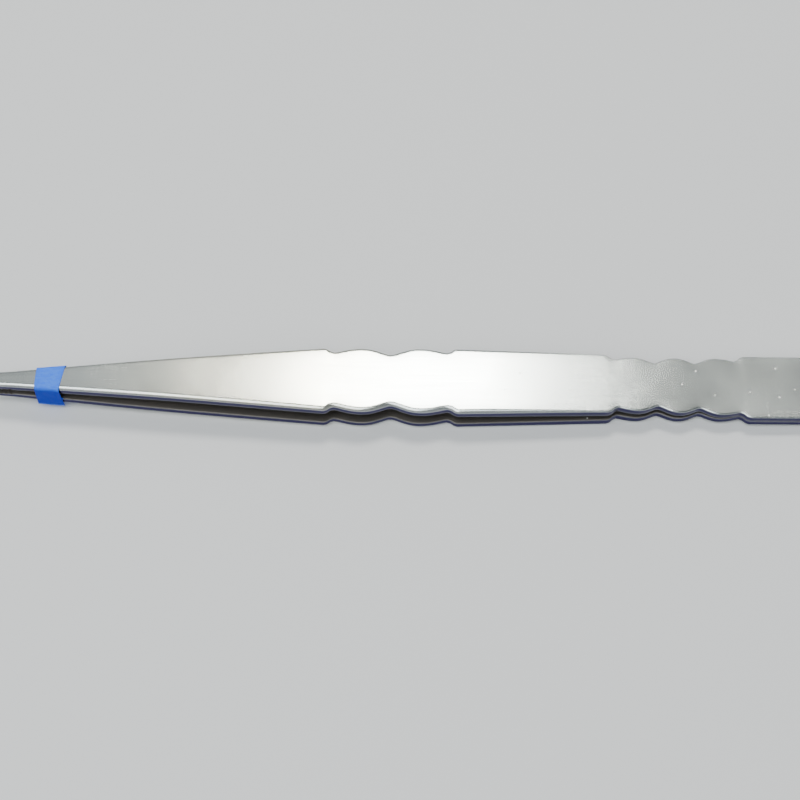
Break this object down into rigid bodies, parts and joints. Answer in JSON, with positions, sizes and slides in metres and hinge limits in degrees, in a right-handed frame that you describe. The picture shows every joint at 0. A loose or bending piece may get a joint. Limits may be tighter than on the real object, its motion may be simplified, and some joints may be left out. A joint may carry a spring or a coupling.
{
  "type": "thumb forceps",
  "caption": "Slender sprung tweezers of the dental dressing kind with scalloped edges, a serrated tip and a strip of marking tape that holds them shut.",
  "frame": {"origin": "under the middle of the closed forceps, at the lowest point of the lower leaf's bow", "axes": "+X from the tips to the heel, +Y across the leaves' width, +Z through both leaves from the lower to the upper one"},
  "size_m": [0.14, 0.0114, 0.0049],
  "materials": {
    "leaf_steel": "fine lengthwise satin brushing with rounded, brighter edges",
    "rivet_steel": "ground flush with the leaves and brushed with them",
    "marking_tape": "matte light blue film with soft wrinkles"
  },
  "bodies": {
    "lower_arm": {"lower_leaf": "leaf_steel", "tape_lower": "marking_tape"},
    "heel": {"lower_leaf_heel": "leaf_steel", "upper_leaf_heel": "leaf_steel", "heel_rivet_front": "rivet_steel", "heel_rivet_rear": "rivet_steel"},
    "upper_arm": {"upper_leaf": "leaf_steel", "tape_upper": "marking_tape"}
  },
  "joints": [
    {"name": "lower_leaf_spring", "type": "hinge", "parent": "lower_arm", "child": "heel", "pos_m": [0.0423, 0, 0.00171], "axis": [0, 1, 0], "range_deg": [-0.07, 3], "stiffness_Nm_per_rad": 6.7},
    {"name": "upper_leaf_spring", "type": "hinge", "parent": "heel", "child": "upper_arm", "pos_m": [0.0423, 0, 0.00319], "axis": [0, 1, 0], "range_deg": [-0.07, 3], "stiffness_Nm_per_rad": 6.7}
  ],
  "couplings": [
    {"joint": "upper_leaf_spring", "follows": "lower_leaf_spring", "ratio": 1}
  ]
}
